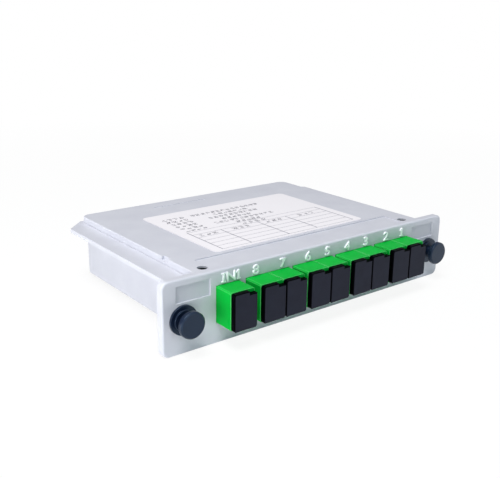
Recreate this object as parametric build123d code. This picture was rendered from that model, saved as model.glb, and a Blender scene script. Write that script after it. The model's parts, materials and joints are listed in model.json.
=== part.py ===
from build123d import *
import os

# A plug-in cassette that splits one optical fibre into eight, with nine capped ports in its face.
# Millimetres. X runs along the face, Y from the ports to the back, Z up.
# The origin is under the middle of the whole cassette, at the height of the face's lower edge.

# Face plate
EAR_W = 14.5               # face beyond each side of the tray
PORT_SILL = 6.95           # face below the ports
PORT_HEAD = 5.25           # face above the ports
FACE_T = 2.7
FACE_CORNER_R = 2.5
FACE_EDGE_R = 0.7

# Tray behind the face
BODY_DEPTH = 82.8          # front of the face to the back of the tray
SIDE_ROOM = 5.4            # end of the row of ports to the outside of the tray
BODY_FOOT = 1.3            # underside of the floor above the face's lower edge
BODY_EDGE_R = 0.8
WALL = 1.8
FLOOR_T = 1.6
BACK_CORNER_R = 3.5
RAIL_OUT = 8.9             # each guide rail beyond the side of the tray
RAIL_T = 1.5
RAIL_LEAD = 7.4            # lead-in at the back of each rail

# Lid and the label on it
LID_T = 2.4
LID_OVER = 1.2             # lid beyond each side of the tray
LID_EDGE_R = 0.4
LID_GAP = 0.1              # between the lid and the back of the face
LABEL_W = 70.2
LABEL_L = 50.2
LABEL_T = 0.15
LABEL_R = 2.0
LABEL_FRONT = 14.2         # from the front of the face
LIP_FRONT = 16.0           # from the front of the face
LIP_T = 1.2
LIP_DEPTH = 1.5
LIP_GAP = 0.15
BAY_W = 90.0               # shallow step across the front of the lid
BAY_L = 9.8
BAY_DEPTH = 0.35
SLIT_L = 25.8              # shallow groove near the back of the lid
SLIT_W = 1.0
SLIT_DEPTH = 0.2
SLIT_X = -10.6
SLIT_FROM_BACK = 7.2
NOTCH_L = 4.2              # pry notch in the lid's left edge
NOTCH_IN = 1.1
NOTCH_DEPTH = 1.2
NOTCH_Y = 19.7             # from the front of the face
HOOK_X = 30.0              # two hooks hold the back of the lid
HOOK_W = 7.6
HOOK_H = 1.4
HOOK_REACH = 1.3
HOOK_DROP = 3.3
HOOK_GAP = 0.15

# Lid screws
SCREW_IN = 3.5             # from the outside of the tray
SCREW_BEHIND = 2.2         # from the back of the face
SCREW_R = 0.95
SCREW_L = 9.0
SCREW_HEAD_R = 1.6
SCREW_HEAD_T = 1.1
SCREW_SUNK = 0.55          # head below the lid's top
SCREW_GAP = 0.05
SCREW_HEAD_GAP = 0.15
BOSS_R = 1.7
CROSS_L = 1.9
CROSS_W = 0.45
CROSS_DEPTH = 0.6

# Ports: one single adapter and four double ones, in a row
PORT_H = 12.8
PORT_PITCH = 9.2           # between the two ports of a double adapter
DOUBLES = 4
ADAPTER_GAP = 1.5          # between double adapters
SINGLE_GAP = 2.4           # between the single adapter and the first double one
ADAPTER_WALL = 0.9         # outside of an adapter to its socket
PORT_OUT = 7.7             # adapter in front of the face
ADAPTER_L = 27.4
ADAPTER_EDGE = 0.4
SLOT_GAP = 0.1             # adapter to the opening in the face, and to the ribs that carry it
SOCKET_W = 7.5
SOCKET_H = 9.2
PLUG_GAP = 0.1             # plug to each wall of its socket
MIDWALL_T = 2.0
KEYWAY_W = 2.5
KEYWAY_H = 0.9
HOLDER_R = 2.4             # to the corners of its outside
HOLDER_SIDES = 8
HOLDER_L = 11.8
COLLAR_T = 1.6
COLLAR_OVER = 1.2
COLLAR_GAP = 0.05
SPLIT_W = 0.5              # groove between the two halves of a double adapter
SPLIT_DEPTH = 0.35
RIB_T = 1.6
REAR_RIB_IN = 3.7          # front of the rear rib from the adapters' back ends

# Alignment sleeve and connector
FERRULE_R = 1.25
SLEEVE_FIT = 0.01
SLEEVE_T = 0.34
SLEEVE_L = 11.4
SLEEVE_SLIT = 0.5
SLEEVE_GAP = 0.05
PLUG_L = 19.5
PLUG_WALL = 0.95
PLUG_HOLLOW = 5.7
PLUG_FROM_MIDWALL = 1.4
KEY_SIDE_GAP = 0.2
KEY_TOP_GAP = 0.4
KEY_L = 7.0
WAIST_DEPTH = 0.5
WAIST_L = 5.0
FERRULE_OUT = 0.1          # ferrule face behind the middle of the adapter
BOOT_L = 9.0
BOOT_R = 2.6
BOOT_TIP_R = 1.5
BOOT_SIDES = 8
FIBRE_R = 0.45
FIBRE_SIDES = 6
BOOT_GAP = 0.05

# Dust caps
CAP_SEAM = 0.25            # between the caps of one double adapter
CAP_H = 12.6
CAP_T = 1.85
CAP_DROP = 0.1             # cap plate's middle below the port axis
CAP_STEP_W = 3.0           # finger notch in its upper right corner
CAP_STEP_H = 1.0
CAP_SEAT = 0.05
CAP_CORNER = 0.5
CAP_BEVEL = 0.25
CAP_PLUG_L = 8.0
CAP_PLUG_WALL = 1.0

# Push latches, one near each end of the face
LATCH_OUT = 7.1            # from the side of the tray
LATCH_Z = 11.6
SHOULDER_R = 3.6           # grommet in the face
SHOULDER_GAP = 0.05        # to its hole there
BARREL_R = 3.1             # grommet behind the face
BARREL_L = 6.6
BARREL_WHOLE = 4.0         # stretch of that before the slots between its legs
BARREL_TAPER = 0.5
BARREL_SLOT = 1.0
GROMMET_R = 4.9
GROMMET_T = 0.8
GROMMET_RIM_R = 3.5
GROMMET_RIM_T = 0.5
PLUNGER_R = 2.0
PLUNGER_GAP = 0.05
KNOB_R = 4.4
KNOB_T = 1.7
KNOB_EDGE = 0.4
KNOB_OUT = 4.3             # back of the knob in front of the face
PLUNGER_TIP = 6.2          # plunger behind the face

# Label windows in the face, one near each end
WINDOW_W = 12.8
WINDOW_H = 5.6
WINDOW_IN = 11.4           # middle of the window from the end of the face
WINDOW_DOWN = 5.0          # and from the top of the face
WINDOW_DEPTH = 0.6

# Splitter module, fibres and what guides them
MODULE_L = 60.0
MODULE_H = 12.0
MODULE_T = 4.0
MODULE_LEAD = 1.15         # module's left end from the fibres' turn
MODULE_FROM_BACK = 6.8     # module's middle plane from the back of the tray
CRADLE_X = 22.0            # each side of the module's middle
CRADLE_W = 3.0
CHEEK_T = 1.2
CHEEK_H = 5.0
CRADLE_GAP = 0.1
FIBRE_STEP = 1.2           # between output fibres, one above the other
FIBRE_TO_WALL = 1.15       # middle of a fibre from the wall of the tray
RISE_START = 2.2           # behind the boot
RISE_END = 9.2
RISE_R = 7.0
LANE_RUN = 11.9            # from the end of the rise to the lane across the tray
CROSS_R = 8.7              # turn into the lane
TURN_SLACK = 0.1           # straight left between the two halves of a turn, on each side
INPUT_UP = 6.85            # input fibre's lane above the port axis
INPUT_LANE_BEHIND = 2.0    # and behind the output fibres' lane
INPUT_RISE_END = 12.6
INPUT_CROSS_R = 7.5
INPUT_FALL_START = 12.6    # from the module's end
INPUT_FALL_END = 2.8
INPUT_TURN_LEAD = 2.2      # from the start of the fall to the turn
GUIDE_T = 1.2
GUIDE_GAP = 0.15
GUIDE_OVER = 0.4           # top of the guide walls above the input fibre's middle

# Row of ports, and the case round it
SINGLE_W = SOCKET_W + 2 * ADAPTER_WALL
DOUBLE_W = SINGLE_W + PORT_PITCH
ROW_W = SINGLE_W + SINGLE_GAP + DOUBLES * DOUBLE_W + (DOUBLES - 1) * ADAPTER_GAP
SINGLE_X = (SINGLE_W - ROW_W) / 2
FIRST_DOUBLE_X = -ROW_W / 2 + SINGLE_W + SINGLE_GAP + DOUBLE_W / 2
FIRST_OUTPUT_X = FIRST_DOUBLE_X - PORT_PITCH / 2
PORT_Z = PORT_SILL + PORT_H / 2
BODY_W = ROW_W + 2 * SIDE_ROOM
LID_W = BODY_W + 2 * LID_OVER
FACE_W = BODY_W + 2 * EAR_W
FACE_H = PORT_SILL + PORT_H + PORT_HEAD
PORT_REACH = PORT_OUT + CAP_SEAT + CAP_T
FRONT = (PORT_REACH - BODY_DEPTH) / 2
FACE_BACK = FRONT + FACE_T
BACK = FRONT + BODY_DEPTH
LID_TOP = FACE_H - LABEL_T
RIM_Z = LID_TOP - LID_T
FLOOR_Z = BODY_FOOT + FLOOR_T
CAVITY_W = BODY_W - 2 * WALL
CAVITY_BACK = BACK - WALL
SCREW_X = BODY_W / 2 - SCREW_IN
SCREW_Y = FACE_BACK + SCREW_BEHIND
LATCH_X = BODY_W / 2 + LATCH_OUT

# Adapters and what plugs into them
ADAPTER_FRONT = FRONT - PORT_OUT
ADAPTER_BACK = ADAPTER_FRONT + ADAPTER_L
ADAPTER_MID = (ADAPTER_FRONT + ADAPTER_BACK) / 2
PLUG_W = SOCKET_W - 2 * PLUG_GAP
PLUG_H = SOCKET_H - 2 * PLUG_GAP
KEY_W = KEYWAY_W - 2 * KEY_SIDE_GAP
KEY_H = KEYWAY_H + PLUG_GAP - KEY_TOP_GAP
CAP_W = PORT_PITCH - CAP_SEAM
PLUG_FRONT = ADAPTER_MID + MIDWALL_T / 2 + PLUG_FROM_MIDWALL
PLUG_BACK = PLUG_FRONT + PLUG_L
BOOT_BACK = PLUG_BACK + BOOT_L
SLEEVE_BORE = FERRULE_R + SLEEVE_FIT
SLEEVE_OUT = SLEEVE_BORE + SLEEVE_T
HOLDER_BORE = SLEEVE_OUT + SLEEVE_GAP

# Fibres' turns beside the walls, each as large as the depth and the width leave room for
LANE_Y = BOOT_BACK + RISE_END + LANE_RUN
INPUT_LANE_Y = LANE_Y + INPUT_LANE_BEHIND
INPUT_Z = PORT_Z + INPUT_UP
MODULE_Y = BACK - MODULE_FROM_BACK
WALL_RUN_X = CAVITY_W / 2 - FIBRE_TO_WALL
OUTPUT_TURN_ROOM = FIRST_OUTPUT_X - CROSS_R - TURN_SLACK + WALL_RUN_X
TURN_R = min((MODULE_Y - LANE_Y) / 2, OUTPUT_TURN_ROOM) - TURN_SLACK
MODULE_LEFT = TURN_R - WALL_RUN_X + MODULE_LEAD
MODULE_X = MODULE_LEFT + MODULE_L / 2
MODULE_RIGHT = MODULE_LEFT + MODULE_L
INPUT_TURN_X = MODULE_RIGHT + INPUT_FALL_START + INPUT_TURN_LEAD
INPUT_TURN_R = min((MODULE_Y - INPUT_LANE_Y) / 2, WALL_RUN_X - INPUT_TURN_X) - TURN_SLACK


def back_from(y, sketch, depth):
    """Extrudes a sketch drawn on X and Z towards the back, from y."""
    plane = Plane((0, y, 0), x_dir=(1, 0, 0), z_dir=(0, -1, 0))
    return extrude(plane * sketch, amount=-depth)


def up_from(z, sketch, height):
    """Extrudes a sketch drawn on X and Y upwards, from z."""
    return extrude(Pos(0, 0, z) * sketch, amount=height)


def rod(x, y, z, radius, length):
    """A round bar along Y whose front end is at y."""
    return back_from(y, Pos(x, z) * Circle(radius), length)


def footprint(width, y_front, y_back, radius):
    """A rectangle seen from above, with its two back corners rounded."""
    sheet = Pos(0, (y_front + y_back) / 2) * Rectangle(width, y_back - y_front)
    return fillet(sheet.vertices().group_by(Axis.Y)[-1], radius)


def double_x(index):
    """Middle of one double adapter, counted from the left."""
    return FIRST_DOUBLE_X + index * (DOUBLE_W + ADAPTER_GAP)


def output_ports():
    """Middles of the output ports from the left, numbered down to 1."""
    middles = [double_x(i) + side * PORT_PITCH / 2 for i in range(DOUBLES) for side in (-1, 1)]
    return [(len(middles) - i, x) for i, x in enumerate(middles)]


# Tray with its face plate

def face_plate():
    sheet = Pos(0, FACE_H / 2) * RectangleRounded(FACE_W, FACE_H, FACE_CORNER_R)
    plate = back_from(FRONT, sheet, FACE_T)
    plate = fillet(plate.faces().sort_by(Axis.Y)[0].edges(), FACE_EDGE_R)
    for side in (-1, 1):
        middle = Pos(side * (FACE_W / 2 - WINDOW_IN), FACE_H - WINDOW_DOWN)
        plate -= back_from(FRONT, middle * Rectangle(WINDOW_W, WINDOW_H), WINDOW_DEPTH)
        plate -= rod(side * LATCH_X, FRONT, LATCH_Z, SHOULDER_R + SHOULDER_GAP, FACE_T)
    for x, width in [(SINGLE_X, SINGLE_W)] + [(double_x(i), DOUBLE_W) for i in range(DOUBLES)]:
        slot = Pos(x, PORT_Z) * Rectangle(width + 2 * SLOT_GAP, PORT_H + 2 * SLOT_GAP)
        plate -= back_from(FRONT, slot, FACE_T)
    return plate


def tray_shell():
    shell = up_from(BODY_FOOT, footprint(BODY_W, FACE_BACK, BACK, BACK_CORNER_R), RIM_Z - BODY_FOOT)
    foot = [e for e in shell.faces().sort_by(Axis.Z)[0].edges() if e.center().Y > FACE_BACK + WALL]
    shell = fillet(foot, BODY_EDGE_R)
    rails = Pos(0, (FACE_BACK + BACK) / 2) * Rectangle(BODY_W + 2 * RAIL_OUT, BACK - FACE_BACK)
    rails = chamfer(rails.vertices().group_by(Axis.Y)[-1], RAIL_LEAD)
    shell += up_from(RIM_Z - RAIL_T, rails, RAIL_T)
    inner_r = BACK_CORNER_R - WALL
    return shell - up_from(FLOOR_Z, footprint(CAVITY_W, FACE_BACK, CAVITY_BACK, inner_r), RIM_Z - FLOOR_Z)


def adapter_ribs():
    """Two floor ribs: one traps the adapters' collars, the other carries their back ends."""
    top = PORT_Z - PORT_H / 2 - SLOT_GAP
    ribs = []
    for y in (FACE_BACK + 2 * COLLAR_GAP + COLLAR_T, ADAPTER_BACK - REAR_RIB_IN):
        ribs.append(back_from(y, Pos(0, (FLOOR_Z + top) / 2) * Rectangle(ROW_W, top - FLOOR_Z), RIB_T))
    return ribs


def screw_bosses():
    bosses = []
    for side in (-1, 1):
        place = Pos(side * SCREW_X, SCREW_Y)
        boss = up_from(FLOOR_Z, place * Circle(BOSS_R), RIM_Z - FLOOR_Z)
        web = Pos(side * (SCREW_X + CAVITY_W / 2) / 2, SCREW_Y)
        web *= Rectangle(CAVITY_W / 2 - SCREW_X, 2 * BOSS_R)
        bosses.append(boss + up_from(FLOOR_Z, web, RIM_Z - FLOOR_Z))
    return bosses


def module_cradles():
    """Two saddles with a cheek on each side of the module, which stands on edge."""
    saddles = []
    seat = PORT_Z - MODULE_H / 2
    for side in (-1, 1):
        x = MODULE_X + side * CRADLE_X
        width = MODULE_T + 2 * CRADLE_GAP + 2 * CHEEK_T
        block = Pos(x, MODULE_Y) * Rectangle(CRADLE_W, width)
        groove = Pos(x, MODULE_Y) * Rectangle(CRADLE_W, MODULE_T + 2 * CRADLE_GAP)
        saddle = up_from(FLOOR_Z, block, seat + CHEEK_H - FLOOR_Z)
        saddles.append(saddle - up_from(seat, groove, CHEEK_H))
    return saddles


def turn_guide(side, wall_x, lane_y, turn_r):
    """A wall just inside the fibres' turn beside one side wall, from the lane round to the module."""
    inset = FIBRE_R + GUIDE_GAP + GUIDE_T / 2
    start_x = wall_x - side * (turn_r + TURN_SLACK)
    far_x = wall_x - side * inset
    line = FilletPolyline(
        (start_x, lane_y + inset),
        (far_x, lane_y + inset),
        (far_x, MODULE_Y - inset),
        (start_x, MODULE_Y - inset),
        radius=turn_r - inset,
    )
    return up_from(FLOOR_Z, trace(line, GUIDE_T), INPUT_Z + GUIDE_OVER - FLOOR_Z)


def case_tray():
    tray = face_plate() + tray_shell()
    for piece in adapter_ribs() + screw_bosses() + module_cradles():
        tray += piece
    tray += turn_guide(-1, -WALL_RUN_X, LANE_Y, TURN_R)
    tray += turn_guide(1, INPUT_TURN_X + INPUT_TURN_R, INPUT_LANE_Y, INPUT_TURN_R)
    for side in (-1, 1):
        pilot = Pos(side * SCREW_X, SCREW_Y) * Circle(SCREW_R + SCREW_GAP)
        tray -= up_from(RIM_Z - SCREW_L, pilot, SCREW_L)
        window = Pos(side * HOOK_X, hook_z()) * Rectangle(HOOK_W + 2 * HOOK_GAP, HOOK_H + 2 * HOOK_GAP)
        tray -= back_from(CAVITY_BACK, window, WALL)
    return tray


# Lid, label and screws

def hook_z():
    """Middle height of the lid's hooks."""
    return RIM_Z - HOOK_DROP + HOOK_H / 2


def lid_lip():
    """A lip down both sides and across the back, just inside the tray's walls."""
    start = FRONT + LIP_FRONT
    width = CAVITY_W - 2 * LIP_GAP
    end = CAVITY_BACK - LIP_GAP
    outer_r = BACK_CORNER_R - WALL - LIP_GAP
    outer = footprint(width, start, end, outer_r)
    inner = footprint(width - 2 * LIP_T, start, end - LIP_T, outer_r / 2)
    return up_from(RIM_Z - LIP_DEPTH, outer - inner, LIP_DEPTH)


def lid_hooks():
    hooks = []
    for side in (-1, 1):
        tab = Pos(side * HOOK_X, RIM_Z - HOOK_DROP / 2) * Rectangle(HOOK_W, HOOK_DROP)
        nose = Pos(side * HOOK_X, hook_z()) * Rectangle(HOOK_W, HOOK_H)
        hook = back_from(CAVITY_BACK - LIP_GAP - LIP_T, tab, LIP_T)
        hooks.append(hook + back_from(CAVITY_BACK - LIP_GAP, nose, LIP_GAP + HOOK_REACH))
    return hooks


def top_cover():
    lid = up_from(RIM_Z, footprint(LID_W, FACE_BACK + LID_GAP, BACK, BACK_CORNER_R), LID_T)
    rim = [e for e in lid.faces().sort_by(Axis.Z)[-1].edges() if e.center().Y > FACE_BACK + WALL]
    lid = fillet(rim, LID_EDGE_R)
    lid += lid_lip()
    for hook in lid_hooks():
        lid += hook
    low = PORT_Z + PORT_H / 2 + SLOT_GAP
    rib = Pos(0, (low + RIM_Z) / 2) * Rectangle(ROW_W, RIM_Z - low)
    lid += back_from(FACE_BACK + 2 * COLLAR_GAP + COLLAR_T, rib, RIB_T)
    bay = Pos(0, FACE_BACK + BAY_L / 2) * Rectangle(BAY_W, BAY_L)
    lid -= up_from(LID_TOP - BAY_DEPTH, bay, BAY_DEPTH)
    slit = Pos(SLIT_X, BACK - SLIT_FROM_BACK) * Rectangle(SLIT_L, SLIT_W)
    lid -= up_from(LID_TOP - SLIT_DEPTH, slit, SLIT_DEPTH)
    notch = Pos(-LID_W / 2 + NOTCH_IN / 2, FRONT + NOTCH_Y) * Rectangle(NOTCH_IN, NOTCH_L)
    lid -= up_from(LID_TOP - NOTCH_DEPTH, notch, NOTCH_DEPTH)
    for side in (-1, 1):
        place = Pos(side * SCREW_X, SCREW_Y)
        lid -= up_from(RIM_Z, place * Circle(SCREW_R + SCREW_HEAD_GAP), LID_T)
        seat = SCREW_SUNK + SCREW_HEAD_T
        lid -= up_from(LID_TOP - seat, place * Circle(SCREW_HEAD_R + SCREW_HEAD_GAP), seat)
    return lid


def label():
    sheet = Pos(0, FRONT + LABEL_FRONT + LABEL_L / 2) * RectangleRounded(LABEL_W, LABEL_L, LABEL_R)
    return up_from(LID_TOP, sheet, LABEL_T)


def lid_screw(side):
    place = Pos(side * SCREW_X, SCREW_Y)
    head_z = LID_TOP - SCREW_SUNK - SCREW_HEAD_T
    shank = up_from(RIM_Z - SCREW_L, place * Circle(SCREW_R), head_z - RIM_Z + SCREW_L)
    screw = shank + up_from(head_z, place * Circle(SCREW_HEAD_R), SCREW_HEAD_T)
    cross = Rectangle(CROSS_L, CROSS_W) + Rectangle(CROSS_W, CROSS_L)
    return screw - up_from(head_z + SCREW_HEAD_T - CROSS_DEPTH, place * cross, CROSS_DEPTH)


# Ports

def adapter(x, width, port_offsets):
    """A port housing, with a socket at each end of every port and a sleeve holder between them."""
    shape = back_from(ADAPTER_FRONT, Pos(x, PORT_Z) * Rectangle(width, PORT_H), ADAPTER_L)
    shape = chamfer(shape.edges().filter_by(Axis.Y), ADAPTER_EDGE)
    collar = Pos(x, PORT_Z) * Rectangle(width, PORT_H + 2 * COLLAR_OVER)
    shape += back_from(FACE_BACK + COLLAR_GAP, collar, COLLAR_T)
    socket_l = (ADAPTER_L - MIDWALL_T) / 2
    ends = (ADAPTER_FRONT, ADAPTER_BACK - socket_l)
    for offset in port_offsets:
        keyway_z = PORT_Z + SOCKET_H / 2 + KEYWAY_H / 2
        mouth = Pos(x + offset, PORT_Z) * Rectangle(SOCKET_W, SOCKET_H)
        mouth += Pos(x + offset, keyway_z) * Rectangle(KEYWAY_W, KEYWAY_H)
        for start in ends:
            shape -= back_from(start, mouth, socket_l)
        holder_front = ADAPTER_MID - HOLDER_L / 2
        holder = RegularPolygon(HOLDER_R, HOLDER_SIDES)
        bore = RegularPolygon(HOLDER_BORE, HOLDER_SIDES, major_radius=False)
        shape += back_from(holder_front, Pos(x + offset, PORT_Z) * holder, HOLDER_L)
        shape -= back_from(holder_front, Pos(x + offset, PORT_Z) * bore, HOLDER_L)
    if len(port_offsets) > 1:
        for side in (-1, 1):
            split = Pos(x, PORT_Z + side * (PORT_H - SPLIT_DEPTH) / 2) * Rectangle(SPLIT_W, SPLIT_DEPTH)
            shape -= back_from(ADAPTER_FRONT, split, PORT_OUT)
    return shape


def alignment_sleeve(x):
    ring = Circle(SLEEVE_OUT) - Circle(SLEEVE_BORE)
    ring -= Pos(0, SLEEVE_OUT / 2) * Rectangle(SLEEVE_SLIT, SLEEVE_OUT)
    return back_from(ADAPTER_MID - SLEEVE_L / 2, Pos(x, PORT_Z) * ring, SLEEVE_L)


def connector(x):
    """The plug inside the cassette, with its ferrule, key, hollow nose and waisted grip."""
    body = back_from(PLUG_FRONT, Pos(x, PORT_Z) * Rectangle(PLUG_W, PLUG_H), PLUG_L)
    hollow = Pos(x, PORT_Z) * Rectangle(PLUG_W - 2 * PLUG_WALL, PLUG_H - 2 * PLUG_WALL)
    body -= back_from(PLUG_FRONT, hollow, PLUG_HOLLOW)
    key = Pos(x, PORT_Z + (PLUG_H + KEY_H) / 2) * Rectangle(KEY_W, KEY_H)
    body += back_from(PLUG_FRONT, key, KEY_L)
    waist_y = (ADAPTER_BACK + PLUG_BACK - WAIST_L) / 2
    for side in (-1, 1):
        waist = Pos(x + side * (PLUG_W - WAIST_DEPTH) / 2, PORT_Z) * Rectangle(WAIST_DEPTH, PLUG_H)
        body -= back_from(waist_y, waist, WAIST_L)
    ferrule_front = ADAPTER_MID + FERRULE_OUT
    ferrule_l = PLUG_FRONT + PLUG_HOLLOW - ferrule_front
    body += rod(x, ferrule_front, PORT_Z, FERRULE_R, ferrule_l)
    return body


def strain_boot(x):
    """A tapered boot round the fibre where it leaves the plug."""
    straight = back_from(PLUG_BACK, Pos(x, PORT_Z) * RegularPolygon(BOOT_R, BOOT_SIDES), BOOT_L / 4)
    ends = []
    for y, radius in ((PLUG_BACK + BOOT_L / 4, BOOT_R), (BOOT_BACK, BOOT_TIP_R)):
        plane = Plane((x, y, PORT_Z), x_dir=(1, 0, 0), z_dir=(0, -1, 0))
        ends.append(plane * RegularPolygon(radius, BOOT_SIDES))
    bore = RegularPolygon(FIBRE_R + BOOT_GAP, FIBRE_SIDES)
    return straight + loft(ends, ruled=True) - back_from(PLUG_BACK, Pos(x, PORT_Z) * bore, BOOT_L)


def dust_cap(x):
    """A cap with a plate over the port and a hollow plug that fills the socket."""
    plate_front = ADAPTER_FRONT - CAP_SEAT - CAP_T
    sheet = chamfer(Rectangle(CAP_W, CAP_H).vertices(), CAP_CORNER)
    sheet -= Pos((CAP_W - CAP_STEP_W) / 2, (CAP_H - CAP_STEP_H) / 2) * Rectangle(CAP_STEP_W, CAP_STEP_H)
    plate = back_from(plate_front, Pos(x, PORT_Z - CAP_DROP) * sheet, CAP_T)
    plate = chamfer(plate.faces().sort_by(Axis.Y)[0].edges(), CAP_BEVEL)
    skirt = Pos(x, PORT_Z) * Rectangle(PLUG_W, PLUG_H)
    skirt -= Pos(x, PORT_Z) * Rectangle(PLUG_W - 2 * CAP_PLUG_WALL, PLUG_H - 2 * CAP_PLUG_WALL)
    return plate + back_from(plate_front + CAP_T, skirt, CAP_SEAT + CAP_PLUG_L)


# Latches

def latch_grommet(side):
    """A flange with a raised rim, a shoulder in the face and a barrel that is split into four legs."""
    bore = PLUNGER_R + PLUNGER_GAP
    barrel_back = FACE_T + BARREL_L
    profile = make_face(Polyline([
        (bore, -GROMMET_T - GROMMET_RIM_T),
        (GROMMET_RIM_R, -GROMMET_T - GROMMET_RIM_T),
        (GROMMET_RIM_R, -GROMMET_T),
        (GROMMET_R, -GROMMET_T),
        (GROMMET_R, 0),
        (SHOULDER_R, 0),
        (SHOULDER_R, FACE_T),
        (BARREL_R, FACE_T + SHOULDER_R - BARREL_R),
        (BARREL_R, barrel_back - BARREL_TAPER),
        (BARREL_R - BARREL_TAPER, barrel_back),
        (bore, barrel_back),
        (bore, -GROMMET_T - GROMMET_RIM_T),
    ]))
    shape = revolve(profile, Axis.Y)
    legs_l = BARREL_L - BARREL_WHOLE
    for turn in (0, 90):
        slot = Pos(0, barrel_back - legs_l / 2, 0) * Box(BARREL_SLOT, legs_l, 2 * BARREL_R)
        shape -= Rot(0, turn, 0) * slot
    return Pos(side * LATCH_X, FRONT, LATCH_Z) * shape


def latch_plunger(side):
    """A flat knob on a round pin."""
    knob_front = -KNOB_OUT - KNOB_T
    profile = make_face(Polyline([
        (0, knob_front),
        (KNOB_R - KNOB_EDGE, knob_front),
        (KNOB_R, knob_front + KNOB_EDGE),
        (KNOB_R, -KNOB_OUT),
        (PLUNGER_R, -KNOB_OUT),
        (PLUNGER_R, PLUNGER_TIP - PLUNGER_R / 2),
        (PLUNGER_R / 2, PLUNGER_TIP),
        (0, PLUNGER_TIP),
        (0, knob_front),
    ]))
    return Pos(side * LATCH_X, FRONT, LATCH_Z) * revolve(profile, Axis.Y)


# Splitter module and fibres

def splitter_module():
    shape = Pos(MODULE_X, MODULE_Y, PORT_Z) * Box(MODULE_L, MODULE_T, MODULE_H)
    return chamfer(shape.edges().filter_by(Axis.X), MODULE_T / 10)


def tube(points, radii):
    """A fibre in its jacket, along straight runs joined by arcs."""
    path = FilletPolyline(*points, radius=radii)
    start = Plane(origin=path @ 0, x_dir=(1, 0, 0), z_dir=path % 0)
    return sweep(start * RegularPolygon(FIBRE_R, FIBRE_SIDES), path=path)


def output_fibre(index, x):
    """From its plug to its own height, then beside the left wall and round into the module."""
    z = PORT_Z + (index - (2 * DOUBLES - 1) / 2) * FIBRE_STEP
    points = [
        (x, PLUG_BACK, PORT_Z),
        (x, BOOT_BACK + RISE_START, PORT_Z),
        (x, BOOT_BACK + RISE_END, z),
        (x, LANE_Y, z),
        (-WALL_RUN_X, LANE_Y, z),
        (-WALL_RUN_X, MODULE_Y, z),
        (MODULE_LEFT, MODULE_Y, z),
    ]
    return tube(points, [RISE_R, RISE_R, CROSS_R, TURN_R, TURN_R])


def input_fibre():
    """It rises over the output fibres, crosses the tray and turns into the module's right end."""
    wall_x = INPUT_TURN_X + INPUT_TURN_R
    points = [
        (SINGLE_X, PLUG_BACK, PORT_Z),
        (SINGLE_X, BOOT_BACK + RISE_START, PORT_Z),
        (SINGLE_X, BOOT_BACK + INPUT_RISE_END, INPUT_Z),
        (SINGLE_X, INPUT_LANE_Y, INPUT_Z),
        (wall_x, INPUT_LANE_Y, INPUT_Z),
        (wall_x, MODULE_Y, INPUT_Z),
        (MODULE_RIGHT + INPUT_FALL_START, MODULE_Y, INPUT_Z),
        (MODULE_RIGHT + INPUT_FALL_END, MODULE_Y, PORT_Z),
        (MODULE_RIGHT, MODULE_Y, PORT_Z),
    ]
    return tube(points, [RISE_R, RISE_R, INPUT_CROSS_R, INPUT_TURN_R, INPUT_TURN_R, RISE_R, RISE_R])


def all_parts():
    parts = {"case_tray": case_tray(), "top_cover": top_cover(), "label": label()}
    parts["lid_screws"] = Compound(children=[lid_screw(-1), lid_screw(1)])
    parts["adapter_in1"] = adapter(SINGLE_X, SINGLE_W, [0])
    ports = output_ports()
    for i in range(DOUBLES):
        name = f"adapter_{ports[2 * i][0]}_{ports[2 * i + 1][0]}"
        parts[name] = adapter(double_x(i), DOUBLE_W, [-PORT_PITCH / 2, PORT_PITCH / 2])
    for name, x in [("in1", SINGLE_X)] + ports:
        parts[f"alignment_sleeve_{name}"] = alignment_sleeve(x)
        parts[f"connector_{name}"] = connector(x)
        parts[f"strain_boot_{name}"] = strain_boot(x)
        parts[f"dust_cap_{name}"] = dust_cap(x)
    for name, side in (("left", -1), ("right", 1)):
        parts[f"latch_grommet_{name}"] = latch_grommet(side)
        parts[f"latch_plunger_{name}"] = latch_plunger(side)
    parts["splitter_module"] = splitter_module()
    parts["input_fibre"] = input_fibre()
    for index, (name, x) in enumerate(ports):
        parts[f"output_fibre_{name}"] = output_fibre(index, x)
    return parts


os.makedirs("parts", exist_ok=True)
for node, shape in all_parts().items():
    export_step(shape, f"parts/{node}.step")
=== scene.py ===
import json
import math
import random

import bmesh
import bpy
from mathutils import Matrix, Quaternion, Vector


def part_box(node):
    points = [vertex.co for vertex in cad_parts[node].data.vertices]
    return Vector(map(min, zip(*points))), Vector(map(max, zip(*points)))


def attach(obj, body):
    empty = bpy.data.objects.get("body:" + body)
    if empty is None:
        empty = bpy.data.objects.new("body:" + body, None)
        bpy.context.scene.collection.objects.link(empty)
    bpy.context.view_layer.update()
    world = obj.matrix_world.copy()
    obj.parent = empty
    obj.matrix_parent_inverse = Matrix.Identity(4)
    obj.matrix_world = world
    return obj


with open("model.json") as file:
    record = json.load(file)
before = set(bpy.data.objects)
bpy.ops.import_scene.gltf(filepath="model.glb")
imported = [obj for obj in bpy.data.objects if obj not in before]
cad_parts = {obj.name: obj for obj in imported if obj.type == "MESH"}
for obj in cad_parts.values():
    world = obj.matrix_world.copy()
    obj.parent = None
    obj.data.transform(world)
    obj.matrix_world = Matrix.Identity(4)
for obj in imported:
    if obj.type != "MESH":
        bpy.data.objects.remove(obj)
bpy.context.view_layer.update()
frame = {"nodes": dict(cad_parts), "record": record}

MM = 0.001

# Camera, fitted to the photograph's viewing angle
CAMERA_AT = Vector((-0.1667, -0.2095, 0.1024))
CAMERA_AZIMUTH = math.radians(37.94)
CAMERA_FALL = math.radians(17.62)
CAMERA_ROLL = math.radians(0.64)
LENS_MM = 52.0
SENSOR_MM = 36.0
NEAREST = 0.01             # nothing nearer to the camera is drawn

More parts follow.
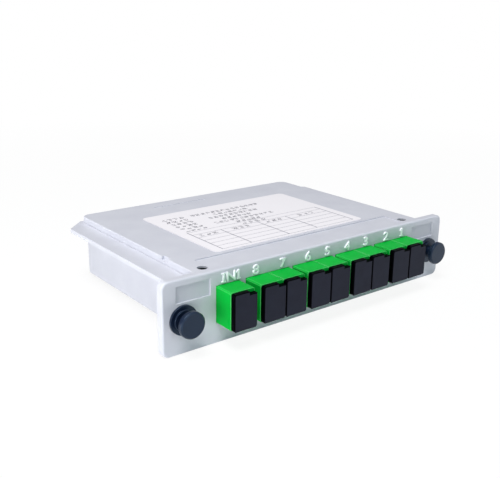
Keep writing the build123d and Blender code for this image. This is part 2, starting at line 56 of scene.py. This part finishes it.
# Floor
FLOOR_SIZE = 12.0
FLOOR_COLOUR = (0.93, 0.93, 0.93, 1)
FLOOR_ROUGHNESS = 0.9
FLOOR_GLOW = 0.90          # share of the floor's look that is plain white, near the cassette
FLOOR_NEAR = 0.15
FLOOR_FAR = 0.45           # from here on the floor is all white

# Sky, by how far a direction points backwards, from -1 to 1
SKY_LIGHT = 0.30
SKY_FRONT = (0.40, 0.82, 1, 1)
SKY_WHITE = (1, 1, 1, 1)
SKY_TINTED = (-0.9, -0.3)  # from all SKY_FRONT to all white
SKY_TURN = (-0.4, 0.4)     # from the front level to the back level
MIRRORED_FRONT = 1.0       # sky in a glossy surface, in front of the face
MIRRORED_BACK = 0.12       # and behind the cassette

# Lamps
LIT = Vector((0, 0, 0.015))
KEY_AT = Vector((-0.30, -0.18, 0.82))
KEY_SIZE = (0.4, 0.4)
KEY_POWER = 7.25
SIDE_AT = Vector((-0.45, -0.07, 0.011))
SIDE_SIZE = (0.3, 0.02)    # a low strip, which the rail keeps off the lid
SIDE_POWER = 0.95
SIDE_COLOUR = (0.98, 1, 1)

# Finishes
NOISE_RANGE = (0.3, 0.7)   # where most of a noise lies
NOISE_ROUGHNESS = 0.55
# the painted highlight along the edges fades in over this range
EDGE_RANGE = (0.995, 0.85)  # softened against plain normal, from no edge to a full one
EDGE_SAMPLES = 6
CLOUD = 9 * MM             # blotches in the colour of moulded plastic
SHEEN = 2.5 * MM           # and in its gloss
SHEEN_SPREAD = 0.04
# the caps' sides get painted shade, as well as a smoother and less glossy finish
CAP_SHADE_TURN = (-0.97, -0.8)   # Y of the normal, from a cap's front to its sides
CAP_ROUGHNESS = (0.55, 0.30)
CAP_GLOSS = (0.15, 0.02)
CAP_SHINE = (0.70, 0.78, 1, 1)
LATCH_SHINE = (0.55, 0.76, 1, 1)

# Ruled table on the label, from the label's front left corner
PRINT_T = 0.02 * MM
RULE_W = 0.17 * MM
COLUMN_W = 0.34 * MM
TABLE_LEFT = 4.0 * MM
TABLE_RIGHT = 66.4 * MM
TABLE_LOW = 1.8 * MM
TABLE_STEP = 3.75 * MM
TABLE_ROWS = 5
TITLE_H = 3.4 * MM
COLUMNS = (16.5 * MM, 33.8 * MM, 47.6 * MM)

# Strokes on the label, in small squares that stand for signs
PRINT_SEED = 5
SIGN_W = 2.0 * MM
SIGN_H = 1.9 * MM
STROKE_W = 0.32 * MM
DASH_LEVELS = (-0.4, 0, 0.4)  # places and lengths of strokes are shares of their square
DASH_SHIFT = 0.16
DASH_LENGTH = (0.45, 0.95)
DASH_CHANCE = 0.85
TICK_ACROSS = (0.3, 0.42)
TICK_UP = 0.2
TICK_LENGTH = (0.2, 0.34)
TICK_CHANCE = 0.6
TICK_TURN = -0.35
CAPTION_X = 4.4 * MM       # short captions, left of the lines
CAPTION_W = 9.6 * MM
CAPTION_PITCH = 2.6 * MM
LINE_TOP = 42.2 * MM
LINE_STEP = 3.35 * MM
LINE_PITCH = SIGN_W * 1.2
LINE_ENDS_MM = ((17.5, 51.5), (26, 42), (21.5, 45), (25.5, 39), (19.5, 47), (27.5, 39.5))
TITLE_LEFT = 27.8 * MM     # in the table's top row
TITLE_RIGHT = 40 * MM
TITLE_PITCH = 3.1 * MM
HEAD_HALF = 4.2 * MM       # and in the row below it, on each side of a column's middle
HEAD_PITCH = 2.9 * MM

# Raised marks over the ports
MARK_H = 3.1 * MM
MARK_Z = 22.0 * MM
FONT_SHARE = 0.684         # height of a capital in the letters' own size
MARK_T = 0.7 * MM
MARK_WIDER = 1.15
MARK_ROUND = 0.09 * MM
MARK_STEPS = 6             # straight pieces in each stretch of a letter's curve
LETTER_STEP = 2.9 * MM     # from letter to letter of IN1
MARKS = (("in1", "IN1", 1.0), (8, "8", -0.7), (7, "7", 1.4), (6, "6", 2.1), (5, "5", 2.1),
         (4, "4", 1.0), (3, "3", 1.3), (2, "2", 1.3), (1, "1", 0.9))  # mm right of the port's middle
SERIF_T = 0.35 * MM
SERIF_W = 1.6 * MM
SERIF_UP = (MARK_H - SERIF_T) / 2
FLAG = (-0.5 * MM, 1.0 * MM, 1.2 * MM, 0.75)  # the slanted stroke at the top of 1
SERIFS = {"I": ((0, SERIF_UP, SERIF_W, 0), (0, -SERIF_UP, SERIF_W, 0)),
          "1": ((0, -SERIF_UP, SERIF_W, 0), FLAG)}  # across, up, width and turn of each bar
WELD = 0.0005 * MM


def srgb(red, green, blue):
    """A colour given as on a screen, from 0 to 255, as Blender's linear numbers."""
    def linear(value):
        value /= 255
        return value / 12.92 if value <= 0.04045 else ((value + 0.055) / 1.055) ** 2.4
    return (linear(red), linear(green), linear(blue), 1)


# Ways to make a finish

def surface(name):
    """A new material, with its node tree, its shader and the object's own coordinates."""
    material = bpy.data.materials.new(name)
    material.use_nodes = True
    tree = material.node_tree
    shader = tree.nodes["Principled BSDF"]
    place = tree.nodes.new("ShaderNodeTexCoord").outputs["Object"]
    return material, tree, shader, place


def feed(tree, source, socket):
    """Links an output to a socket, or sets the socket to a number or colour."""
    if isinstance(source, bpy.types.NodeSocket):
        tree.links.new(source, socket)
    else:
        socket.default_value = source


def grain(tree, place, size, detail=3.0):
    """Noise whose blotches are about size metres across."""
    noise = tree.nodes.new("ShaderNodeTexNoise")
    noise.inputs["Scale"].default_value = 1 / size
    noise.inputs["Detail"].default_value = detail
    noise.inputs["Roughness"].default_value = NOISE_ROUGHNESS
    tree.links.new(place, noise.inputs["Vector"])
    return noise.outputs["Fac"]


def ramp(tree, value, start, end, low=0.0, high=1.0):
    """Low where value is at start and high where it is at end; each a number or an output."""
    scale = tree.nodes.new("ShaderNodeMapRange")
    scale.inputs["From Min"].default_value = start
    scale.inputs["From Max"].default_value = end
    for name, source in (("Value", value), ("To Min", low), ("To Max", high)):
        feed(tree, source, scale.inputs[name])
    return scale.outputs["Result"]


def spread(tree, noise, low=0.0, high=1.0):
    """Takes most of a noise to the range low to high."""
    return ramp(tree, noise, *NOISE_RANGE, low, high)


def choose(tree, share, low, high):
    """Low where share is 0 and high where it is 1."""
    return ramp(tree, share, 0, 1, low, high)


def blend_colours(tree, share, first, second):
    """Mixes two colours or colour outputs by share."""
    mix = tree.nodes.new("ShaderNodeMix")
    mix.data_type = "RGBA"
    for name, source in (("Factor", share), ("A", first), ("B", second)):
        feed(tree, source, mix.inputs[name])
    return mix.outputs["Result"]


def soft_normal(tree, radius):
    """Normals softened along the edges."""
    bevel = tree.nodes.new("ShaderNodeBevel")
    bevel.samples = EDGE_SAMPLES
    bevel.inputs["Radius"].default_value = radius
    return bevel.outputs["Normal"]


def highlight_share(tree, softened):
    """1 along the edges, where a highlight is painted, and 0 on the flat."""
    shape = tree.nodes.new("ShaderNodeNewGeometry")
    dot = tree.nodes.new("ShaderNodeVectorMath")
    dot.operation = "DOT_PRODUCT"
    tree.links.new(softened, dot.inputs[0])
    tree.links.new(shape.outputs["Normal"], dot.inputs[1])
    return ramp(tree, dot.outputs["Value"], *EDGE_RANGE)


def relief(tree, shader, height, depth, normal=None):
    """A fine relief, depth metres deep, on top of the normals."""
    bump = tree.nodes.new("ShaderNodeBump")
    bump.inputs["Strength"].default_value = 1.0
    bump.inputs["Distance"].default_value = depth
    tree.links.new(height, bump.inputs["Height"])
    if normal is not None:
        tree.links.new(normal, bump.inputs["Normal"])
    tree.links.new(bump.outputs["Normal"], shader.inputs["Normal"])


def moulded(name, colour, shade, highlight_colour, roughness, grain_size=0.15 * MM, grain_depth=0.006 * MM,
            edge_radius=0.25 * MM, gloss=0.5, shine=(1, 1, 1, 1)):
    """Injection-moulded plastic: a fine sparked grain, cloudy colour, and edges painted paler as a
    highlight.
    """
    material, tree, shader, place = surface(name)
    shader.inputs["Specular IOR Level"].default_value = gloss
    shader.inputs["Specular Tint"].default_value = shine
    cloud = spread(tree, grain(tree, place, CLOUD, detail=4.0))
    base = blend_colours(tree, cloud, colour, shade)
    normal = soft_normal(tree, edge_radius)
    # painted highlight: the colour turns paler along the edges
    highlighted = blend_colours(tree, highlight_share(tree, normal), base, highlight_colour)
    tree.links.new(highlighted, shader.inputs["Base Color"])
    sheen = grain(tree, place, SHEEN)
    rough = spread(tree, sheen, roughness - SHEEN_SPREAD, roughness + SHEEN_SPREAD)
    tree.links.new(rough, shader.inputs["Roughness"])
    relief(tree, shader, grain(tree, place, grain_size, detail=2.0), grain_depth, normal)
    return material


def ink(name, colour, shade):
    """Thermal print, a little broken up."""
    material, tree, shader, place = surface(name)
    patches = spread(tree, grain(tree, place, size=0.3 * MM, detail=4.0))
    tree.links.new(blend_colours(tree, patches, colour, shade), shader.inputs["Base Color"])
    shader.inputs["Roughness"].default_value = 0.6
    return material


# Finishes of the cassette's pieces

def case_plastic():
    """Light grey plastic of the tray and the lid."""
    # the third colour is a painted highlight along the edges
    return moulded("case_plastic", srgb(208, 209, 218), srgb(202, 203, 213), srgb(229, 231, 238),
                   roughness=0.42, grain_size=0.22 * MM, grain_depth=0.010 * MM, edge_radius=0.12 * MM)


def mark_plastic():
    """Plastic of the raised marks, painted whiter than the case as a highlight where they catch the light.
    """
    return moulded("mark_plastic", srgb(250, 252, 255), srgb(245, 248, 252), srgb(252, 253, 255),
                   roughness=0.4, grain_size=0.2 * MM, grain_depth=0.004 * MM, edge_radius=0.05 * MM)


def label_paper():
    """Coated paper, with faint fibres."""
    material, tree, shader, place = surface("label_paper")
    fibres = spread(tree, grain(tree, place, size=0.5 * MM, detail=4.0))
    tint = blend_colours(tree, fibres, srgb(244, 240, 244), srgb(238, 235, 240))
    tree.links.new(tint, shader.inputs["Base Color"])
    shader.inputs["Roughness"].default_value = 0.45
    shader.inputs["Specular IOR Level"].default_value = 0.4
    relief(tree, shader, grain(tree, place, size=0.25 * MM), depth=0.006 * MM)
    return material


def dark_zinc():
    """Dark zinc plate on the screws."""
    material, tree, shader, place = surface("dark_zinc")
    shader.inputs["Metallic"].default_value = 1.0
    patches = spread(tree, grain(tree, place, size=0.4 * MM, detail=4.0))
    tint = blend_colours(tree, patches, srgb(46, 48, 56), srgb(30, 32, 38))
    tree.links.new(tint, shader.inputs["Base Color"])
    tree.links.new(spread(tree, patches, 0.35, 0.5), shader.inputs["Roughness"])
    relief(tree, shader, grain(tree, place, size=0.1 * MM), depth=0.004 * MM)
    return material


def green_plastic():
    """Green plastic of the ports, with little gloss."""
    # the third colour is a painted highlight on the ports' rims
    return moulded("green_plastic", srgb(4, 178, 60), srgb(1, 169, 53), srgb(116, 232, 140),
                   roughness=0.34, edge_radius=0.32 * MM, gloss=0.05)


def cap_rubber():
    """Black dust caps: a matt front, and smooth sides with painted shade that keeps them nearly black."""
    material, tree, shader, place = surface("cap_rubber")
    shape = tree.nodes.new("ShaderNodeNewGeometry")
    axes = tree.nodes.new("ShaderNodeSeparateXYZ")
    tree.links.new(shape.outputs["True Normal"], axes.inputs["Vector"])
    side = ramp(tree, axes.outputs["Y"], *CAP_SHADE_TURN)
    cloud = spread(tree, grain(tree, place, size=5 * MM, detail=4.0))
    front = blend_colours(tree, cloud, srgb(34, 36, 48), srgb(30, 31, 42))
    # painted shade: the sides and top of each cap are coloured nearly black
    tree.links.new(blend_colours(tree, side, front, srgb(3, 3, 5)), shader.inputs["Base Color"])
    tree.links.new(choose(tree, side, *CAP_ROUGHNESS), shader.inputs["Roughness"])
    tree.links.new(choose(tree, side, *CAP_GLOSS), shader.inputs["Specular IOR Level"])
    shader.inputs["Specular Tint"].default_value = CAP_SHINE
    relief(tree, shader, grain(tree, place, size=0.12 * MM, detail=2.0), depth=0.008 * MM,
           normal=soft_normal(tree, radius=0.15 * MM))
    return material


def latch_nylon():
    """Blue-black nylon of the grommets and plungers."""
    # the third colour is a painted highlight along the edges
    return moulded("latch_nylon", srgb(15, 26, 48), srgb(11, 21, 40), srgb(38, 48, 66),
                   roughness=0.33, shine=LATCH_SHINE)


def ceramic():
    """White ceramic of the alignment sleeves."""
    # the third colour is a painted highlight along the edges
    return moulded("ceramic", srgb(240, 240, 236), srgb(234, 234, 229), srgb(246, 246, 243),
                   roughness=0.18, grain_size=0.1 * MM, grain_depth=0.001 * MM)


def plug_plastic():
    """Green plastic of the plugs inside."""
    # the third colour is a painted highlight along the edges
    return moulded("plug_plastic", srgb(24, 158, 66), srgb(19, 148, 58), srgb(80, 196, 110), roughness=0.36)


def boot_rubber():
    """White rubber of the strain boots."""
    # the third colour is a painted highlight along the edges
    return moulded("boot_rubber", srgb(232, 233, 233), srgb(225, 226, 227), srgb(240, 241, 241),
                   roughness=0.6, grain_size=0.12 * MM, grain_depth=0.010 * MM)


def satin_metal():
    """Satin steel of the splitter module, with fine lines along X."""
    material, tree, shader, place = surface("satin_metal")
    shader.inputs["Metallic"].default_value = 1.0
    stretch = tree.nodes.new("ShaderNodeMapping")
    stretch.inputs["Scale"].default_value = (0.05, 1, 1)
    tree.links.new(place, stretch.inputs["Vector"])
    lines = grain(tree, stretch.outputs["Vector"], size=0.15 * MM)
    tint = blend_colours(tree, spread(tree, lines), srgb(198, 200, 204), srgb(178, 180, 185))
    tree.links.new(tint, shader.inputs["Base Color"])
    tree.links.new(spread(tree, lines, 0.28, 0.4), shader.inputs["Roughness"])
    relief(tree, shader, lines, depth=0.004 * MM)
    return material


def white_jacket():
    """Jacket of the input fibre."""
    # the third colour is a painted highlight along the edges
    return moulded("white_jacket", srgb(240, 240, 238), srgb(233, 233, 230), srgb(244, 244, 242),
                   roughness=0.4, grain_size=0.1 * MM, grain_depth=0.003 * MM)


def yellow_jacket():
    """Jackets of the output fibres."""
    # the third colour is a painted highlight along the edges
    return moulded("yellow_jacket", srgb(238, 214, 96), srgb(232, 206, 84), srgb(244, 226, 130),
                   roughness=0.4, grain_size=0.1 * MM, grain_depth=0.003 * MM)


FINISHES = {
    "case": case_plastic,
    "label": label_paper,
    "screw": dark_zinc,
    "port": green_plastic,
    "cap": cap_rubber,
    "latch": latch_nylon,
    "sleeve": ceramic,
    "plug": plug_plastic,
    "boot": boot_rubber,
    "module": satin_metal,
    "input_jacket": white_jacket,
    "output_jacket": yellow_jacket,
}


def dress_nodes():
    """Gives each piece of the frame the finish of its slot."""
    finishes = {slot: make() for slot, make in FINISHES.items()}
    for row in frame["record"]["subparts"]:
        piece = frame["nodes"][row["node"]]
        for slot in piece.material_slots:
            slot.material = finishes[row["material_slot"]]


# Print on the label

def finished(name, bm, material):
    """Makes a mesh piece out of a bmesh and lets it ride on the cassette."""
    bmesh.ops.recalc_face_normals(bm, faces=bm.faces)
    mesh = bpy.data.meshes.new(name)
    bm.to_mesh(mesh)
    bm.free()
    mesh.materials.append(material)
    piece = bpy.data.objects.new(name, mesh)
    bpy.context.collection.objects.link(piece)
    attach(piece, "cassette")


def print_bar(bm, x, y, width, length, turn=0.0):
    """A flat bar of print with its middle at x, y on the label, a quarter of it in the paper."""
    low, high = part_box("label")
    place = Matrix.Translation((low.x + x, low.y + y, high.z + PRINT_T / 4))
    size = Matrix.Diagonal((width, length, PRINT_T, 1))
    bmesh.ops.create_cube(bm, size=1, matrix=place @ Matrix.Rotation(turn, 4, "Z") @ size)


def label_table():
    """The ruled table on the front half of the label."""
    bm = bmesh.new()
    middle = (TABLE_LEFT + TABLE_RIGHT) / 2
    grid_top = TABLE_LOW + TABLE_ROWS * TABLE_STEP
    top = grid_top + TITLE_H
    rows = [TABLE_LOW + i * TABLE_STEP for i in range(TABLE_ROWS + 1)] + [top]
    for y in rows:
        print_bar(bm, middle, y, TABLE_RIGHT - TABLE_LEFT, RULE_W)
    for x in (TABLE_LEFT, TABLE_RIGHT):
        print_bar(bm, x, (TABLE_LOW + top) / 2, COLUMN_W, top - TABLE_LOW + RULE_W)
    for x in COLUMNS:
        print_bar(bm, x, (TABLE_LOW + grid_top) / 2, COLUMN_W, grid_top - TABLE_LOW)
    finished("label_table", bm, ink("rule_ink", srgb(120, 120, 132), srgb(146, 146, 158)))


def sign(bm, x, y, pick):
    """Up to three short dashes and two ticks in one small square."""
    for level in DASH_LEVELS:
        if pick.random() < DASH_CHANCE:
            across = SIGN_W * pick.uniform(-DASH_SHIFT, DASH_SHIFT)
            width = SIGN_W * pick.uniform(*DASH_LENGTH)
            print_bar(bm, x + across, y + level * SIGN_H, width, STROKE_W)
    for side in (-1, 1):
        if pick.random() < TICK_CHANCE:
            across = side * SIGN_W * pick.uniform(*TICK_ACROSS)
            length = SIGN_H * pick.uniform(*TICK_LENGTH)
            print_bar(bm, x + across, y + side * SIGN_H * TICK_UP, STROKE_W, length, TICK_TURN)


def signs(bm, start, end, y, pick, pitch):
    """A row of signs from start to end."""
    x = start + SIGN_W / 2
    while x < end:
        sign(bm, x, y, pick)
        x += pitch


def label_rows():
    """Rows of plain strokes where the label's lines of print are."""
    pick = random.Random(PRINT_SEED)
    bm = bmesh.new()
    for i, (start, end) in enumerate(LINE_ENDS_MM):
        y = LINE_TOP - i * LINE_STEP
        signs(bm, CAPTION_X, CAPTION_X + CAPTION_W, y, pick, CAPTION_PITCH)
        signs(bm, start * MM, end * MM, y, pick, LINE_PITCH)
    title_y = TABLE_LOW + TABLE_ROWS * TABLE_STEP + TITLE_H / 2
    signs(bm, TITLE_LEFT, TITLE_RIGHT, title_y, pick, TITLE_PITCH)
    head_y = TABLE_LOW + (TABLE_ROWS - 0.5) * TABLE_STEP
    edges = (TABLE_LEFT, *COLUMNS, TABLE_RIGHT)
    for left, right in zip(edges, edges[1:]):
        middle = (left + right) / 2
        signs(bm, middle - HEAD_HALF, middle + HEAD_HALF, head_y, pick, HEAD_PITCH)
    finished("label_rows", bm, ink("print_ink", srgb(62, 62, 75), srgb(96, 96, 110)))


# Marks over the ports

def letter(text):
    """A letter or number as a raised mesh that lies on its back, centred in height."""
    curve = bpy.data.curves.new("letter_outline", "FONT")
    curve.body = text
    curve.align_x = "CENTER"
    curve.align_y = "CENTER"
    curve.size = MARK_H / FONT_SHARE
    curve.extrude = MARK_T / 2
    curve.bevel_depth = MARK_ROUND
    curve.resolution_u = MARK_STEPS
    drawn = bpy.data.objects.new("letter_outline", curve)
    bpy.context.collection.objects.link(drawn)
    bpy.context.view_layer.update()
    mesh = bpy.data.meshes.new_from_object(drawn.evaluated_get(bpy.context.evaluated_depsgraph_get()))
    bpy.data.objects.remove(drawn)
    heights = [vert.co.y for vert in mesh.vertices]
    mesh.transform(Matrix.Translation((0, -(min(heights) + max(heights)) / 2, 0)))
    return mesh


def port_mark(name, text, x, material):
    """A raised number or word on the face, over its port."""
    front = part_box("case_tray")[0].y
    stand = Matrix.Rotation(math.pi / 2, 4, "X") @ Matrix.Diagonal((MARK_WIDER, 1, 1, 1))
    bm = bmesh.new()
    for i, glyph in enumerate(text):
        middle = Matrix.Translation((x + (i - (len(text) - 1) / 2) * LETTER_STEP, front, MARK_Z))
        mesh = letter(glyph)
        mesh.transform(middle @ stand)
        bm.from_mesh(mesh)
        bpy.data.meshes.remove(mesh)
        for across, up, width, turn in SERIFS.get(glyph, ()):
            place = middle @ Matrix.Translation((across, 0, up)) @ Matrix.Rotation(-turn, 4, "Y")
            size = Matrix.Diagonal((width, MARK_T + MARK_ROUND, SERIF_T, 1))
            bmesh.ops.create_cube(bm, size=1, matrix=place @ size)
    bmesh.ops.remove_doubles(bm, verts=bm.verts, dist=WELD)
    finished(name, bm, material)


def port_x(name):
    """The middle of a port, from its alignment sleeve."""
    low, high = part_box(f"alignment_sleeve_{name}")
    return (low.x + high.x) / 2


def port_marks():
    """IN1, and 8 down to 1, over the ports."""
    material = mark_plastic()
    for port, text, right in MARKS:
        port_mark(f"port_mark_{port}", text, port_x(port) + right * MM, material)


# Camera, floor and light

def set_camera():
    """Looks at the cassette from its left front, from above."""
    data = bpy.data.cameras.new("camera")
    data.lens = LENS_MM
    data.sensor_width = SENSOR_MM
    data.clip_start = NEAREST
    camera = bpy.data.objects.new("camera", data)
    bpy.context.collection.objects.link(camera)
    flat = math.cos(CAMERA_FALL)
    ahead = Vector((math.sin(CAMERA_AZIMUTH) * flat, math.cos(CAMERA_AZIMUTH) * flat,
                    -math.sin(CAMERA_FALL)))
    camera.location = CAMERA_AT
    camera.rotation_mode = "QUATERNION"
    camera.rotation_quaternion = ahead.to_track_quat("-Z", "Y") @ Quaternion((0, 0, 1), CAMERA_ROLL)
    bpy.context.scene.camera = camera


def seen_or_mirrored(tree):
    """1 for what the camera sees straight or in a glossy surface."""
    path = tree.nodes.new("ShaderNodeLightPath")
    either = tree.nodes.new("ShaderNodeMath")
    either.operation = "MAXIMUM"
    tree.links.new(path.outputs["Is Camera Ray"], either.inputs[0])
    tree.links.new(path.outputs["Is Glossy Ray"], either.inputs[1])
    return either.outputs["Value"]


def floor_white():
    """Matt white, mixed with plain white that takes over further out."""
    material, tree, matt, place = surface("floor_white")
    matt.inputs["Base Color"].default_value = FLOOR_COLOUR
    matt.inputs["Roughness"].default_value = FLOOR_ROUGHNESS
    matt.inputs["Specular IOR Level"].default_value = 0.0
    reach = tree.nodes.new("ShaderNodeVectorMath")
    reach.operation = "LENGTH"
    tree.links.new(place, reach.inputs[0])
    white = ramp(tree, reach.outputs["Value"], FLOOR_NEAR, FLOOR_FAR, low=FLOOR_GLOW)
    glow = tree.nodes.new("ShaderNodeEmission")
    mix = tree.nodes.new("ShaderNodeMixShader")
    tree.links.new(choose(tree, seen_or_mirrored(tree), 0.0, white), mix.inputs["Fac"])
    tree.links.new(matt.outputs["BSDF"], mix.inputs[1])
    tree.links.new(glow.outputs["Emission"], mix.inputs[2])
    tree.links.new(mix.outputs["Shader"], tree.nodes["Material Output"].inputs["Surface"])
    return material


def set_floor():
    """A white floor that keeps a faint shadow."""
    bm = bmesh.new()
    bmesh.ops.create_grid(bm, x_segments=1, y_segments=1, size=FLOOR_SIZE / 2)
    mesh = bpy.data.meshes.new("floor")
    bm.to_mesh(mesh)
    bm.free()
    mesh.materials.append(floor_white())
    floor = bpy.data.objects.new("floor", mesh)
    bpy.context.collection.objects.link(floor)


def set_sky():
    """Even light from all round, a little cool in front of the face and white where it is seen.

    In glossy surfaces the back of it is darker.
    """
    world = bpy.data.worlds.new("sky")
    world.use_nodes = True
    bpy.context.scene.world = world
    tree = world.node_tree
    sky = tree.nodes["Background"]
    axes = tree.nodes.new("ShaderNodeSeparateXYZ")
    tree.links.new(tree.nodes.new("ShaderNodeTexCoord").outputs["Generated"], axes.inputs["Vector"])
    backwards = axes.outputs["Y"]
    colour = blend_colours(tree, ramp(tree, backwards, *SKY_TINTED), SKY_FRONT, SKY_WHITE)
    colour = blend_colours(tree, seen_or_mirrored(tree), colour, SKY_WHITE)
    tree.links.new(colour, sky.inputs["Color"])
    mirrored = ramp(tree, backwards, *SKY_TURN, MIRRORED_FRONT, MIRRORED_BACK)
    path = tree.nodes.new("ShaderNodeLightPath")
    level = choose(tree, path.outputs["Is Glossy Ray"], SKY_LIGHT, mirrored)
    level = choose(tree, path.outputs["Is Camera Ray"], level, 1.0)
    tree.links.new(level, sky.inputs["Strength"])


def add_softbox(name, at, size, power, colour=(1, 1, 1)):
    """A lamp of size (width, height) that faces the cassette."""
    data = bpy.data.lights.new(name, "AREA")
    data.energy = power
    data.shape = "RECTANGLE"
    data.size, data.size_y = size
    data.color = colour
    lamp = bpy.data.objects.new(name, data)
    lamp.location = at
    lamp.rotation_mode = "QUATERNION"
    lamp.rotation_quaternion = (at - LIT).to_track_quat("Z", "Y")
    bpy.context.collection.objects.link(lamp)


set_camera()
dress_nodes()
label_table()
label_rows()
port_marks()
set_floor()
set_sky()
add_softbox("key", KEY_AT, KEY_SIZE, KEY_POWER)
add_softbox("side", SIDE_AT, SIDE_SIZE, SIDE_POWER, SIDE_COLOUR)
bpy.context.scene.view_settings.view_transform = "Standard"
